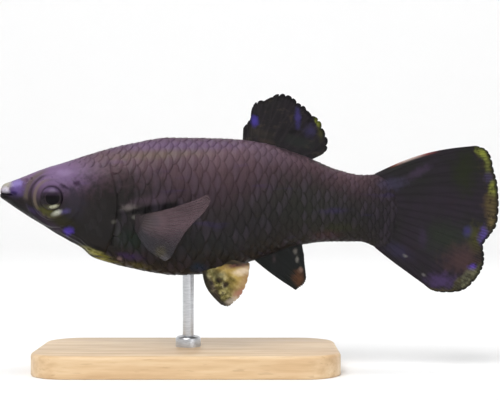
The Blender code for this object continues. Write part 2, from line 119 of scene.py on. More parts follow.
# Fins. Rays run from a root line to (s, z) tips, first ray to last. The first and the last ray bow
# sideways by bow, rag is how deep the free edge is notched, flesh is the thickness at the root, and wave
# is how far the fin swings left and right. A crowd over 1 draws the rays to the first, sink is how deep the
# root lies in the body, and a paired fin stands from_middle out at its root and spread more at its tips.
DORSAL = {
    "root": (38.7, 48.9), "crowd": 1.25, "sink": 1.0, "rays": 11, "bow": (0.0, 0.0), "rag": 0.36,
    "flesh": 1.3, "wave": 0.45,
    "tips": (
        (38.85, 11.6), (39.6, 12.6), (40.05, 13.3), (40.3, 14.9), (41.1, 15.9), (42.6, 16.2), (44.2, 17.0),
        (45.5, 17.05), (46.8, 16.5), (47.7, 15.6), (48.7, 15.0), (49.7, 13.8), (51.0, 12.9), (51.7, 11.4),
        (52.4, 9.6), (52.2, 7.9), (51.1, 7.1),
    ),
}
ANAL = {
    "root": (39.9, 48.1), "crowd": 1.0, "sink": 1.0, "rays": 9, "bow": (-0.2, 0.0), "rag": 0.2,
    "flesh": 1.2, "wave": 0.15,
    "tips": (
        (47.3, -14.5), (47.8, -14.1), (48.6, -13.5), (48.95, -12.6), (48.85, -11.4), (48.7, -10.2),
        (48.6, -8.9),
    ),
}
CAUDAL = {
    "root": 60.0, "rays": 18, "bow": (0.95, -0.35), "rag": 0.2, "wave": 0.8,
    "tips": (
        (76.3, 8.75), (77.9, 8.2), (78.8, 6.9), (79.3, 4.7), (79.8, 2.9), (80.0, 0.7), (80.0, -1.6),
        (79.6, -4.1), (78.5, -5.7), (77.4, -7.2), (77.5, -9.0), (77.3, -10.5), (76.6, -11.9), (75.1, -13.7),
        (73.5, -14.6), (71.0, -14.8), (69.2, -14.5), (68.4, -13.7), (68.1, -12.8),
    ),
}
PELVIC = {
    "root": ((32.3, -10.3), (34.5, -9.5)), "rays": 7, "bow": (-0.95, 0.4), "rag": 0.2, "flesh": 0.9,
    "from_middle": 1.5, "spread": 1.9,
    "tips": ((35.4, -16.5), (36.4, -16.8), (37.3, -16.2), (38.5, -15.0), (39.5, -12.8), (39.9, -10.3)),
}
PECTORAL = {
    "root": ((22.1, -2.4), (22.2, -4.7)), "rays": 13, "bow": (-0.45, -0.7), "rag": 0.12, "flesh": 0.7,
    "from_middle": 5.35, "spread": 4.95, "last_spread": 3.0,
    "tips": (
        (33.5, 0.8), (33.9, -0.2), (33.2, -1.5), (32.1, -2.7), (30.9, -3.9), (29.9, -5.1), (29.1, -6.4),
        (28.4, -7.7), (27.8, -8.8), (26.9, -9.4),
    ),
}
MEMBRANE = 0.14
RAY_RISE = 0.13
RAY_WIDTH = 0.17
FLESH_FADE = 3.5
COLUMNS_PER_RAY = 14

# The stand.
STAND_CENTRE = (-10.0, 0.0)
BASE_SIZE = (48.0, 25.0, 3.5)
BASE_CORNER = 6.0
BASE_ROUNDING = 0.6
ROD_RADIUS = 0.9
COLLAR_RADIUS = 2.0
COLLAR_TOP = 5.2
ROD_TOP = 17.5

# The studio, in metres. The camera stands level with the fish's axis.
CAMERA_PLACE = (-0.00007, -0.1897, AXIS_HEIGHT * MM)
FLOOR_RADIUS = 0.42
FLOOR_CURVE = 0.3
WALL_HEIGHT = 0.6


def profile(points):
    """A smooth curve through (x, value) points that makes no bumps between them, read at any x."""
    x, y = np.array(points).T
    step = np.diff(y) / np.diff(x)
    slope = np.empty_like(y)
    slope[0], slope[-1] = step[0], step[-1]
    before, after = step[:-1], step[1:]
    level = before * after <= 0
    slope[1:-1] = np.where(level, 0, 2 * before * after / np.where(level, 1, before + after))

    def read(at):
        at = np.clip(at, x[0], x[-1])
        i = np.clip(np.searchsorted(x, at, side="right") - 1, 0, len(x) - 2)
        width = x[i + 1] - x[i]
        t = (at - x[i]) / width
        return (
            y[i] * (1 + 2 * t) * (1 - t) ** 2
            + y[i + 1] * t * t * (3 - 2 * t)
            + slope[i] * width * t * (1 - t) ** 2
            - slope[i + 1] * width * t * t * (1 - t)
        )
    return read


back, belly, half_width, widest = profile(BACK), profile(BELLY), profile(HALF_WIDTH), profile(WIDEST)
top_squareness, bottom_squareness = profile(TOP_SQUARENESS), profile(BOTTOM_SQUARENESS)


def along(points, t):
    """The points at each t, from 0 to 1, of a rounded line through the points."""
    points = np.array(points, dtype=float)
    last = len(points) - 1
    spot = np.clip(t, 0, 1) * last
    i = np.minimum(spot.astype(int), last - 1)
    f = (spot - i)[..., None]
    p0, p1, p2, p3 = (points[np.clip(i + k, 0, last)] for k in (-1, 0, 1, 2))
    bend = 2 * p0 - 5 * p1 + 4 * p2 - p3
    twist = 3 * p1 - p0 - 3 * p2 + p3
    return 0.5 * (2 * p1 + (p2 - p0) * f + bend * f * f + twist * f ** 3)


def rise(x, low, high):
    """0 below low and 1 above high with a soft change between, or the reverse where low is above high."""
    t = np.clip((x - low) / (high - low), 0, 1)
    return t * t * (3 - 2 * t)


def ridge(x, centre, width):
    """A round-topped ridge of height 1."""
    return np.exp(-((x - centre) / width) ** 2)


def unit(vectors):
    return vectors / np.maximum(np.linalg.norm(vectors, axis=-1, keepdims=True), 1e-12)


def place(points):
    """Fish millimetres to world metres."""
    return (np.asarray(points) + FISH_START) * MM


def body_surface(s, turn):
    """Points on the body, turn going from the back down the left side."""
    snout = np.clip(-s / SNOUT_ROUNDING, 0, 1)
    lobe = np.clip((s - LOBE_START) / (LOBE_END - LOBE_START), 0, 1)
    closing = np.sqrt(np.clip(1 - snout ** 2, 0, 1)) * np.sqrt(np.clip(1 - lobe ** 2, 0, 1))
    middle = widest(s)
    up, side = np.cos(turn), np.sin(turn)
    power = np.where(up >= 0, top_squareness(s), bottom_squareness(s))
    y = -np.sign(side) * np.abs(side) ** (2 / power) * half_width(s) * closing
    z = middle + np.abs(up) ** (2 / power) * np.where(up >= 0, back(s) - middle, belly(s) - middle) * closing
    return np.stack(np.broadcast_arrays(s, y, z), axis=-1)


def body_outward(s, turn):
    """The directions in which the body's surface faces."""
    ahead = body_surface(s + 0.05, turn) - body_surface(s - 0.05, turn)
    down = body_surface(s, turn + 0.02) - body_surface(s, turn - 0.02)
    return unit(np.cross(down, ahead))


def share_of_height(s, z):
    """0 at the belly's line and 1 at the back's."""
    return np.clip((z - belly(s)) / (back(s) - belly(s)), 0, 1)


def from_circle(circle, s, z):
    """How far points of the side view lie outside a circle."""
    return np.hypot(s - circle[0], z - circle[1]) - circle[2]


def bare_head(s, z):
    """How far behind the head's bare skin a point lies."""
    depth = np.clip(back(s) - z, 0, 9)
    nape = s - SCALE_START - 1.1 * depth - 0.35 * depth ** 2
    return np.maximum(nape, from_circle(GILL_OPENING, s, z) - 0.3)


def lip_relief(lip, s, z):
    line = lip["z"] - lip["fall"] * s
    return lip["rise"] * ridge(z, line, lip["width"]) * rise(s, lip["end"] + 0.6, lip["end"] - 0.4)


def eye_relief(s, z):
    """The socket, the rim round the eye and the folds in front of it and below."""
    r = np.hypot((s - EYE_S) / math.cos(EYE_FORWARD), z - EYE_Z)
    front = rise(EYE_S - s - 0.35 * (z - EYE_Z), -0.6, 1.6)
    socket = -1.4 * rise(r, 1.86, 1.4) + 0.15 * ridge(r, 2.14, 0.32)
    folds = 0.08 * ridge(r, 3.0, 0.26) - 0.15 * ridge(r, 3.72, 0.22) + 0.09 * ridge(r, 4.3, 0.3)
    brow = 0.14 * ridge(r, 2.7, 0.6) * rise(z, 0.6, 2.4)
    return socket + folds * front + brow


def gill_relief(s, z):
    """The gill cover's raised rear edge, the groove behind it, and the groove across the cheek."""
    d = from_circle(GILL_OPENING, s, z)
    edge = 0.22 * rise(d, -3.0, -0.35) * rise(d, 0.14, -0.14)
    edge = (edge - 0.24 * rise(d, -0.12, 0.1) * rise(d, 1.5, 0.2)) * rise(z, 5.6, 3.2) * rise(z, -9.6, -7.4)
    cheek = from_circle(PREOPERCLE, s, z)
    behind = rise(s - 0.4 * z, 7.5, 9.5) * rise(z, 4.2, 2.4)
    groove = -0.12 * ridge(cheek, 0.0, 0.16) + 0.09 * ridge(cheek, -0.55, 0.4) + 0.06 * ridge(cheek, 0.9, 0.5)
    return edge + groove * behind


def throat_relief(s, z):
    """Fine folds of the gill membrane along the throat."""
    low = z - belly(s)
    at = rise(s, 8.5, 11.0) * rise(s, 18.5, 16.0) * rise(low, 2.6, 1.2)
    return 0.045 * np.sin(low * TURN / 0.75) * at


def uneven(points, size, seed):
    """Soft natural unevenness between about -1 and 1, with lumps size millimetres across."""
    shift = Vector((seed * 17.3, 0, 0))
    flat = points.reshape(-1, 3)
    values = [noise.noise(Vector((s, abs(y), z)) / size + shift) for s, y, z in flat]
    return np.array(values).reshape(points.shape[:-1])


def head_unevenness(points):
    """Small lumps of the bare skin, strongest on the head."""
    head = rise(points[..., 0], 22.0, 14.0) * rise(points[..., 0], 0.4, 3.0)
    return (0.035 * uneven(points, 1.6, 1) + 0.016 * uneven(points, 0.55, 2)) * head


def pore_relief(s, z):
    """Rows of sense pores round the eye."""
    out = np.zeros_like(s)
    for bearing, distance in PORES:
        a = math.radians(bearing)
        pit = np.hypot(s - EYE_S - distance * math.cos(a), z - EYE_Z - distance * math.sin(a))
        out += 0.03 * ridge(pit, 2 * PORE_RADIUS, PORE_RADIUS) - 0.1 * ridge(pit, 0.0, PORE_RADIUS)
    return out


def relief(s, y, z):
    """How far the skin stands out from the body's plain form, in millimetres."""
    out = lip_relief(UPPER_LIP, s, z) + lip_relief(LOWER_LIP, s, z)
    out += LIP_FRONT["rise"] * ridge(s, LIP_FRONT["s"], LIP_FRONT["length"]) * rise(z, 1.4, 2.2)
    slit = MOUTH["z"] - MOUTH["slope"] * s
    out -= MOUTH["depth"] * ridge(z, slit, MOUTH["width"]) * rise(s, MOUTH["end"] + 0.3, MOUTH["end"] - 0.3)
    corner = np.hypot(s - 2.35 + 0.25 * (z - 0.6), 0.5 * (z - 0.5))
    out -= 0.13 * ridge(corner, 0.0, 0.28)
    for at_s, at_z, radius in NOSTRILS:
        r = np.hypot(s - at_s, z - at_z)
        out += 0.09 * ridge(r, 1.45 * radius, 0.4 * radius) - radius * ridge(r, 0.0, 0.75 * radius)
    out += eye_relief(s, z) * rise(np.abs(y), 1.2, 2.2)
    out += gill_relief(s, z) + throat_relief(s, z) + pore_relief(s, z) * rise(np.abs(y), 0.8, 1.6)
    return out - SCALE_DEPTH * rise(bare_head(s, z), -2.4, 1.4)


def ring_places():
    """The s of every ring of the skin."""
    spacing = profile(RING_SPACING)
    places = [-SNOUT_ROUNDING]
    while places[-1] < LOBE_END:
        places.append(places[-1] + float(spacing(places[-1])))
    return np.array(places[:-1] + [LOBE_END])


def finished(name, bm):
    """The mesh that a bmesh makes."""
    mesh = bpy.data.meshes.new(name)
    bm.to_mesh(mesh)
    bm.free()
    return mesh


def joined(bm):
    """Merges a bmesh's doubles and turns its faces outwards."""
    bmesh.ops.remove_doubles(bm, verts=bm.verts, dist=DOUBLES)
    bmesh.ops.recalc_face_normals(bm, faces=bm.faces)
    return bm


def show(name, data):
    made = bpy.data.objects.new(name, data)
    bpy.context.scene.collection.objects.link(made)
    return made


def painted(name, mesh, paint):
    mesh.shade_smooth()
    mesh.materials.append(paint)
    return show(name, mesh)


def dress(name, mesh, paint):
    """Puts a finished mesh into the scene as a piece of the model."""
    made = painted(name, mesh, paint)
    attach(made, "root")
    return made


def new_piece(name, bm, paint):
    return dress(name, finished(name, bm), paint)


def corner_verts(mesh):
    """The vertex that each corner of each face stands on."""
    corners = np.empty(len(mesh.loops), dtype=int)
    mesh.loops.foreach_get("vertex_index", corners)
    return corners


def grid_blank(columns, rows):
    """A flat grid and, for each of its vertices, the (column, row) it stands for."""
    bm = bmesh.new()
    bmesh.ops.create_grid(bm, x_segments=columns, y_segments=rows, size=0.5)
    spots = np.array([vert.co[:2] for vert in bm.verts]) + 0.5
    return bm, np.rint(spots * (columns, rows)).astype(int)


def note(mesh, name, values):
    """Keeps one number a vertex for the material to read."""
    mesh.attributes.new(name, "FLOAT", "POINT").data.foreach_set("value", np.ravel(values))


def make_skin(paint):
    """One closed skin from lips to tail root."""
    rings = ring_places()
    bm, spots = grid_blank(len(rings) - 1, RING_SIDES)
    s, turn = rings[spots[:, 0]], spots[:, 1] * TURN / RING_SIDES
    points = body_surface(s, turn)
    outward = body_outward(np.clip(s, 0.05, LOBE_END - 0.1), turn)
    outward[s < 0] = (-1, 0, 0)
    stand = relief(*points.T) + head_unevenness(points)
    points = points + outward * (stand * np.where(s < 0, 0.3, 1.0))[:, None]
    for vert, at in zip(bm.verts, place(points)):
        vert.co = at
    skin = new_piece("skin", joined(bm), paint)
    at = np.array([v.co for v in skin.data.vertices]) / MM - FISH_START
    note(skin.data, "height", share_of_height(at[:, 0], at[:, 2]))
    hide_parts("head", "gill_cover_left", "gill_cover_right", "trunk", "tail_stem")


def girth(s):
    """The length of the line round the body at s."""
    ring = body_surface(np.full(65, s), np.linspace(0, TURN, 65))
    return float(np.sum(np.linalg.norm(np.diff(ring, axis=0), axis=1)))


def on_cheek(s, z, spacing):
    """Whether a small flat scale has room on the cheek or the gill cover."""
    length = SCALE_OVERLAP * spacing
    eye = math.hypot(s - EYE_S, z - EYE_Z)
    groove = from_circle(PREOPERCLE, s, z)
    clear = groove > 0.25 or groove < -length - 0.1
    room = from_circle(GILL_OPENING, s, z) < -length - 0.25
    level = belly(s) + 3.2 < z < back(s) - 1.2
    return eye > 3.3 and s > EYE_S + 0.8 and clear and room and level


def scale_roots():
    """Where the scales are rooted and how large they are: (s, turn, half height, spacing, on the head).

    They stand in rings round the body, and each ring is half a scale on from the one before.
    """
    roots = []
    s, ring = SCALE_START, 0
    while s < SCALE_END:
        half = girth(min(s, LOBE_START)) / SCALE_ROWS
        spacing = SCALE_STEP[0] + SCALE_STEP[1] * half
        for k in range(SCALE_ROWS // 2):
            turn = TURN * (k + 0.5 * (ring % 2)) / (SCALE_ROWS // 2)
            at = body_surface(np.array(s), np.array(turn))
            if bare_head(at[0], at[2]) > (0.0 if at[2] > 3.0 else -1.2):
                roots.append((s, turn, half, spacing, 0))
            elif on_cheek(at[0], at[2], spacing):
                roots.append((s, turn, half, spacing, 1))
        s += spacing / 2
        ring += 1
    return np.array(roots)


def scale_blank():
    """A flat closed plate: its mesh, and its vertices as across, along and layer."""
    bm = bmesh.new()
    bmesh.ops.create_grid(bm, x_segments=SCALE_SIDES[0], y_segments=SCALE_SIDES[1], size=1.0)
    rim = [e for e in bm.edges if e.is_boundary]
    under = bmesh.ops.extrude_edge_only(bm, edges=rim)["geom"]
    bmesh.ops.translate(bm, verts=[g for g in under if isinstance(g, bmesh.types.BMVert)], vec=(0, 0, -1))
    bmesh.ops.holes_fill(bm, edges=[e for e in bm.edges if e.is_boundary])
    bmesh.ops.recalc_face_normals(bm, faces=bm.faces)
    mesh = finished("scale_blank", bm)
    spots = np.array([v.co for v in mesh.vertices])
    return mesh, np.sin(spots[:, 0] * math.pi / 2), (spots[:, 1] + 1) / 2, spots[:, 2]


def make_scales(paint):
    """Overlapping scales, each a thin plate that lies back over the next ones."""
    rng = np.random.default_rng(7)
    blank, across, along_it, layer = scale_blank()
    roots = scale_roots()
    bm = bmesh.new()
    for _ in roots:
        bm.from_mesh(blank)
    mesh = finished("scales", bm)
    bpy.data.meshes.remove(blank)

    s0, turn0, half_height, spacing, head = (roots[:, i:i + 1] for i in range(5))
    at = body_surface(s0, turn0)
    young = rise(bare_head(at[..., 0], at[..., 2]), -0.5, 7.0)
    tail = rise(s0, 64.0, 55.0)
    size = (0.82 + 0.18 * young) * (1 + 0.05 * rng.standard_normal(s0.shape)) * (0.8 + 0.2 * tail)
    lift = (0.38 + 0.5 * young) * (1 + 0.12 * rng.standard_normal(s0.shape)) * (0.6 + 0.4 * tail)
    lift = SCALE_DEPTH * lift
    half = TURN / SCALE_ROWS * SCALE_WIDTH * size
    side, back_along = across[None, :], along_it[None, :]
    taper = 0.62 + 0.38 * np.minimum(back_along / 0.45, 1)
    retreat = half_height * size * (1 - np.sqrt(1 - (0.9 * side) ** 2))
    reach = SCALE_OVERLAP * spacing * size - retreat * back_along
    s = np.minimum(s0 + reach * back_along, LOBE_END - 0.02)
    turn = turn0 + half * taper * side
    points = body_surface(s, turn)
    outward = body_outward(np.clip(s, 0.05, LOBE_END - 0.3), turn)
    flat = relief(*np.moveaxis(points, -1, 0)) - 0.04 + 0.065 * np.sin(math.pi * back_along)
    height = np.where(head > 0, flat, -SCALE_DEPTH - 0.05 + lift * 1.25 * back_along ** 0.9)
    height = height - 0.32 * side ** 2 * (0.03 + 0.08 * head + lift * back_along * (1 - head))
    height = np.where(layer[None, :] < -0.5, height - 0.035 - 0.06 * (1 - back_along), height)
    points = points + outward * height[..., None]
    mesh.vertices.foreach_set("co", place(points).ravel())

    note(mesh, "height", share_of_height(points[..., 0], points[..., 2]))
    rim = back_along * (0.75 + 0.25 * side ** 2) * (1 - 0.3 * head)
    note(mesh, "rim", np.broadcast_to(rim, height.shape))
    note(mesh, "shade", np.broadcast_to(rng.random(s0.shape), height.shape))
    which, spot = np.divmod(corner_verts(mesh), len(across))
    patch = np.stack((across[spot] * 0.5, along_it[spot] - 0.5), axis=1) * PATCH
    unwrap = np.stack((roots[:, 0] / (LOBE_END + 2), roots[:, 1] / TURN * 0.98 + 0.01), axis=1)
    mesh.uv_layers.new(name="OFBake").data.foreach_set("uv", (unwrap[which] + patch).ravel())
    dress("scales", mesh, paint)


def ray_crest(q, r, spacing):
    """The height of the branching rays, from 0 to 1, at q rays across and r towards the tips."""
    offset = 0.25 * rise(r, 0.3, 0.75)
    fork = 0.125 * rise(r, 0.62, 1.0)
    width = RAY_WIDTH * (1.25 - 0.7 * r) / spacing
    nearest = q - np.rint(q)
    crest = np.zeros_like(q)
    for first in (-1, 1):
        for second in (-1, 1):
            crest = np.maximum(crest, ridge(nearest, first * offset + second * fork, width))
    return crest


def make_fin(name, fin, root, out, paint, node, flesh=None, rows=84):
    """A thin fin of branching rays.

    root gives (s, z) at t, out the sideways place at (t, r) and flesh the root's thickness at t, where it
    isn't even. t runs from the first ray to the last and r from root to tip.
    """
    rays = fin["rays"]
    columns = (rays - 1) * COLUMNS_PER_RAY
    bm, spots = grid_blank(columns, rows)
    t, r = spots[:, 0] / columns, spots[:, 1] / rows
    q = t * (rays - 1)
    start, tip = root(t), along(fin["tips"], t)
    span = tip - start
    length = np.linalg.norm(span, axis=-1)
    ends = along(fin["tips"], np.linspace(0, 1, 200))
    edge = np.sum(np.linalg.norm(np.diff(ends, axis=0), axis=1)) / (rays - 1)
    crest = ray_crest(q, r, 0.35 + (edge - 0.35) * r)
    lobe = 2 * np.mod(2 * q, 1) - 1
    ragged = np.random.default_rng(rays).random(2 * rays)[(2 * q + 1e-9).astype(int)]
    notch = fin["rag"] * (1 - np.sqrt(1 - 0.95 * lobe ** 2)) * (0.5 + ragged)
    reach = r - rise(r, 0.75, 1.0) * notch / length * r
    first, last = fin["bow"]
    bow = (first + (last - first) * t) * np.sin(math.pi * r)
    aside = unit(np.stack((-span[:, 1], span[:, 0]), axis=1)) * bow[:, None]
    at = start + span * reach[:, None] + aside
    pleat = 0.07 * np.cos(TURN * q) * np.sin(math.pi * np.clip(r * 1.1, 0, 1)) * r
    points = np.stack((at[:, 0], out(t, r) + pleat, at[:, 1]), axis=1)
    for vert, spot in zip(bm.verts, place(points)):
        vert.co = spot
    bmesh.ops.recalc_face_normals(bm, faces=bm.faces)
    thickness = MEMBRANE * (1 - 0.5 * r ** 3) + 2 * RAY_RISE * crest * (1 - 0.72 * r) * rise(r, 0.02, 0.2)
    core = flesh(t) if flesh else fin["flesh"]
    thickness = thickness + np.maximum(core - MEMBRANE, 0) * (1 - r) ** FLESH_FADE
    made = new_piece(name, bm, paint)
    fan = np.stack((t, r), axis=1)[corner_verts(made.data)]
    made.data.uv_layers.new(name="fan").data.foreach_set("uv", fan.ravel())
    note(made.data, "ray", crest)
    group = made.vertex_groups.new(name="thickness")
    most = float(thickness.max())
    for i, value in enumerate(thickness / most):
        group.add([i], float(value), "REPLACE")
    solid = made.modifiers.new("Solidify", "SOLIDIFY")
    solid.thickness = most * MM
    solid.offset = 0.0
    solid.vertex_group = "thickness"
    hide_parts(node)


def on_line(line, fin, sink):
    """A fin's root line on the back or the belly, sunk a little into the body."""
    def root(t):
        first, last = fin["root"]
        s = first + (last - first) * t ** fin["crowd"]
        return np.stack((s, line(s) + sink), axis=-1)
    return root


def make_single_fins(paints):
    def dorsal_out(t, r):
        return DORSAL["wave"] * np.sin(TURN * t) * r ** 2

    def anal_out(t, r):
        return ANAL["wave"] * np.cos(math.pi * t) * r

    def tail_root(t):
        s = np.full_like(t, CAUDAL["root"])
        top, bottom = back(s), belly(s)
        return np.stack((s, top + (bottom - top) * t), axis=-1)

    def tail_out(t, r):
        return CAUDAL["wave"] * np.cos(1.75 * math.pi * t - 1.0) * r ** 1.6

    def tail_flesh(t):
        return 1.1 * half_width(CAUDAL["root"]) * np.sqrt(np.clip(1 - (2 * t - 1) ** 2, 0, 1))

    make_fin("dorsal_fin_fan", DORSAL, on_line(back, DORSAL, -DORSAL["sink"]), dorsal_out,
             paints["dorsal"], "dorsal_fin")
    make_fin("anal_fin_fan", ANAL, on_line(belly, ANAL, ANAL["sink"]), anal_out,
             paints["anal"], "anal_fin")
    make_fin("caudal_fin_fan", CAUDAL, tail_root, tail_out, paints["tail"], "caudal_fin",
             flesh=tail_flesh, rows=110)


def make_paired_fins(paints):
    for side, name in ((-1, "left"), (1, "right")):
        def pelvic_out(t, r, side=side):
            return side * (PELVIC["from_middle"] + PELVIC["spread"] * r)

        def pectoral_out(t, r, side=side):
            spread = PECTORAL["spread"] * (1 - t) + PECTORAL["last_spread"] * t
            return side * (PECTORAL["from_middle"] + spread * r)

        make_fin(f"pelvic_fan_{name}", PELVIC, lambda t: along(PELVIC["root"], t), pelvic_out,
                 paints["pelvic"], f"pelvic_fin_{name}")
        make_fin(f"pectoral_fan_{name}", PECTORAL, lambda t: along(PECTORAL["root"], t), pectoral_out,
                 paints["pectoral"], f"pectoral_fin_{name}")


def make_eyes(paint):
    """Glassy eyeballs that look out and a little forwards."""
    width = float(side_reach(EYE_S, EYE_Z))
    for side, name in ((-1, "left"), (1, "right")):
        bm = bmesh.new()
        bmesh.ops.create_uvsphere(bm, u_segments=72, v_segments=48, radius=1.0)
        bmesh.ops.rotate(bm, verts=bm.verts, matrix=Matrix.Rotation(math.pi / 2, 3, "X"))
        bmesh.ops.scale(bm, verts=bm.verts, vec=(EYE_RADIUS, EYE_HALF_DEPTH, EYE_RADIUS))
        looks = np.array([v.co for v in bm.verts])
        at = Matrix.Translation(place((EYE_S, side * (width - EYE_SINK), EYE_Z)))
        turned = Matrix.Rotation(side * EYE_FORWARD, 4, "Z")
        bmesh.ops.transform(bm, matrix=at @ turned @ Matrix.Scale(MM, 4), verts=bm.verts)
        eye = new_piece(f"eyeball_{name}", bm, paint)
        eye.data.attributes.new("gaze", "FLOAT_VECTOR", "POINT").data.foreach_set("vector", looks.ravel())
        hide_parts(f"eye_{name}")


def side_reach(s, z):
    """How far the body reaches sideways at a height."""
    middle = widest(s)
    high = z > middle
    reach = np.where(high, back(s) - middle, middle - belly(s))
    power = np.where(high, top_squareness(s), bottom_squareness(s))
    share = np.minimum(np.abs(z - middle) / reach, 1)
    return half_width(s) * (1 - share ** power) ** (1 / power)


def make_base(paint):
    """The flat base with its rounded corners and edges."""
    bm = bmesh.new()
    bmesh.ops.create_cube(bm, size=1.0)
    bmesh.ops.scale(bm, verts=bm.verts, vec=Vector(BASE_SIZE) * MM)
    bmesh.ops.translate(bm, verts=bm.verts, vec=Vector((*STAND_CENTRE, BASE_SIZE[2] / 2)) * MM)
    upright = [e for e in bm.edges if abs(e.verts[0].co.z - e.verts[1].co.z) > MM]
    bmesh.ops.bevel(bm, geom=upright, offset=BASE_CORNER * MM, segments=20, profile=0.5, material=-1,
                    affect="EDGES")
    for level, width in ((BASE_SIZE[2], BASE_ROUNDING), (0.0, 0.2)):
        rim = [e for e in bm.edges if all(abs(v.co.z - level * MM) < 1e-6 for v in e.verts)]
        bmesh.ops.bevel(bm, geom=rim, offset=width * MM, segments=5, profile=0.5, material=-1,
                        affect="EDGES")
    base = new_piece("base_board", bm, paint)
    base.data.set_sharp_from_angle(angle=math.radians(40))
    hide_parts("stand_base")


def spun(outline, sides):
    """A round shape spun about the vertical from a (radius, height) outline in metres."""
    bm = bmesh.new()
    verts = [bm.verts.new((radius, 0, height)) for radius, height in outline]
    edges = [bm.edges.new(pair) for pair in zip(verts, verts[1:])]
    bmesh.ops.spin(bm, geom=verts + edges, cent=(0, 0, 0), axis=(0, 0, 1), angle=TURN, steps=sides,
                   use_merge=True)
    return joined(bm)


def turned_piece(name, outline, paint, sides=64):
    """A round piece about the rod's own line from an outline in millimetres."""
    bm = spun([(radius * MM, height * MM) for radius, height in outline], sides)
    bmesh.ops.translate(bm, verts=bm.verts, vec=Vector((*STAND_CENTRE, 0)) * MM)
    made = new_piece(name, bm, paint)
    made.data.set_sharp_from_angle(angle=math.radians(35))
    return made


def make_pillar(paint):
    """The collar on the base and the rod that goes up into the belly."""
    base_top = BASE_SIZE[2]
    collar = turned_piece("collar_ring", (
        (0, base_top), (COLLAR_RADIUS, base_top), (COLLAR_RADIUS, COLLAR_TOP - 0.5),
        (COLLAR_RADIUS - 0.06, COLLAR_TOP - 0.28), (COLLAR_RADIUS - 0.22, COLLAR_TOP - 0.1),
        (COLLAR_RADIUS - 0.45, COLLAR_TOP), (ROD_RADIUS + 0.25, COLLAR_TOP),
        (ROD_RADIUS + 0.12, COLLAR_TOP - 0.15), (0, COLLAR_TOP - 0.15),
    ), paint)
    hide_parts("stand_collar")
    rod = turned_piece("rod_bar", (
        (0, base_top), (ROD_RADIUS, base_top), (ROD_RADIUS, ROD_TOP - 0.2), (ROD_RADIUS - 0.2, ROD_TOP),
        (0, ROD_TOP),
    ), paint)
    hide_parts("stand_rod")


class Value:
    """A number that changes over a surface. Sums and products with it add Math nodes."""

    def __init__(self, paint, socket):
        self.paint = paint
        self.socket = socket

    def math(self, operation, *others):
        return self.paint.node("Math", {"operation": operation}, dict(enumerate((self, *others))))

    def __add__(self, other):
        return self.math("ADD", other)

    def __sub__(self, other):
        return self.math("SUBTRACT", other)

    def __rsub__(self, other):
        return self.paint.node("Math", {"operation": "SUBTRACT"}, {0: other, 1: self})

    def __mul__(self, other):
        return self.math("MULTIPLY", other)

    def __truediv__(self, other):
        return self.math("DIVIDE", other)

    def __pow__(self, other):
        return self.math("POWER", other)

    __radd__ = __add__
    __rmul__ = __mul__

    def soft(self, low, high):
        """0 at low and 1 at high with a soft change between."""
        return self.paint.node("MapRange", {"interpolation_type": "SMOOTHSTEP"},
                               {"Value": self, "From Min": low, "From Max": high})

    def ramp(self, *stops):
        """A screen colour that follows the number through (number, colour) stops."""
        return self.paint.node("ValToRGB", {"stops": stops}, {"Fac": self})


def shade(red, green, blue):
    """A screen colour from 0 to 255 as the linear colour that shaders take."""
    linear = [((c / 255 + 0.055) / 1.055) ** 2.4 if c > 10 else c / 255 / 12.92 for c in (red, green, blue)]
    return (*linear, 1.0)


class Paint:
    """A material made by nodes, its colour laid on in coats.

    Its patterns follow at, the place on the object or the vector attribute that follow names.
    """

    def __init__(self, name, follow=None):
        self.material = bpy.data.materials.new(name)
        self.material.use_nodes = True
        self.tree = self.material.node_tree
        self.shader = self.tree.nodes["Principled BSDF"]
        self.at = self.read(follow, "Vector") if follow else self.node("TexCoord", {}, {}, "Object")
        self.colour = None

    def feed(self, socket, value):
        if isinstance(value, Value):
            self.tree.links.new(value.socket, socket)
        else:
            socket.default_value = value

    def node(self, kind, settings, inputs, output=0):
        """Adds a node: its settings first, then the values or links of its sockets."""
        made = self.tree.nodes.new("ShaderNode" + kind)
        for name, value in settings.items():
            if name == "stops":
                ramp = made.color_ramp.elements
                while len(ramp) < len(value):
                    ramp.new(1.0)
                for stop, (position, tint) in zip(ramp, value):
                    stop.position = position
                    stop.color = shade(*tint)
            else:
                setattr(made, name, value)
        for key, value in inputs.items():
            self.feed(made.inputs[key], value)
        return Value(self, made.outputs[output])

    def read(self, name, output="Fac"):
        return self.node("Attribute", {"attribute_name": name}, {}, output)

    def axes(self, vector, names):
        return [self.node("SeparateXYZ", {}, {0: vector}, name) for name in names]

    def clouds(self, size, detail=3.0, roughness=0.5, squeeze=None):
        """Soft noise about 0.5 whose patches are size millimetres across, over squeeze along each axis."""
        at = self.at
        if squeeze:
            at = self.node("VectorMath", {"operation": "MULTIPLY"}, {0: at, 1: squeeze})
        return self.node("TexNoise", {}, {"Vector": at, "Scale": METRE / size, "Detail": detail,
                                          "Roughness": roughness}, "Fac")

    def lay(self, amount, tint):
        """Lays a screen colour, or one that varies, over the colour so far."""
        over = tint if isinstance(tint, Value) else shade(*tint)
        self.colour = self.node("Mix", {"data_type": "RGBA"}, {0: amount, 6: self.colour, 7: over}, 2)

    def bump(self, height, strength, distance):
        return self.node("Bump", {}, {"Strength": strength, "Distance": distance * MM, "Height": height})

    def finish(self, **inputs):
        """Gives the shader its colour and its other inputs."""
        self.feed(self.shader.inputs["Base Color"], self.colour)
        for name, value in inputs.items():
            self.feed(self.shader.inputs[name.replace("_", " ")], value)
        return self.material


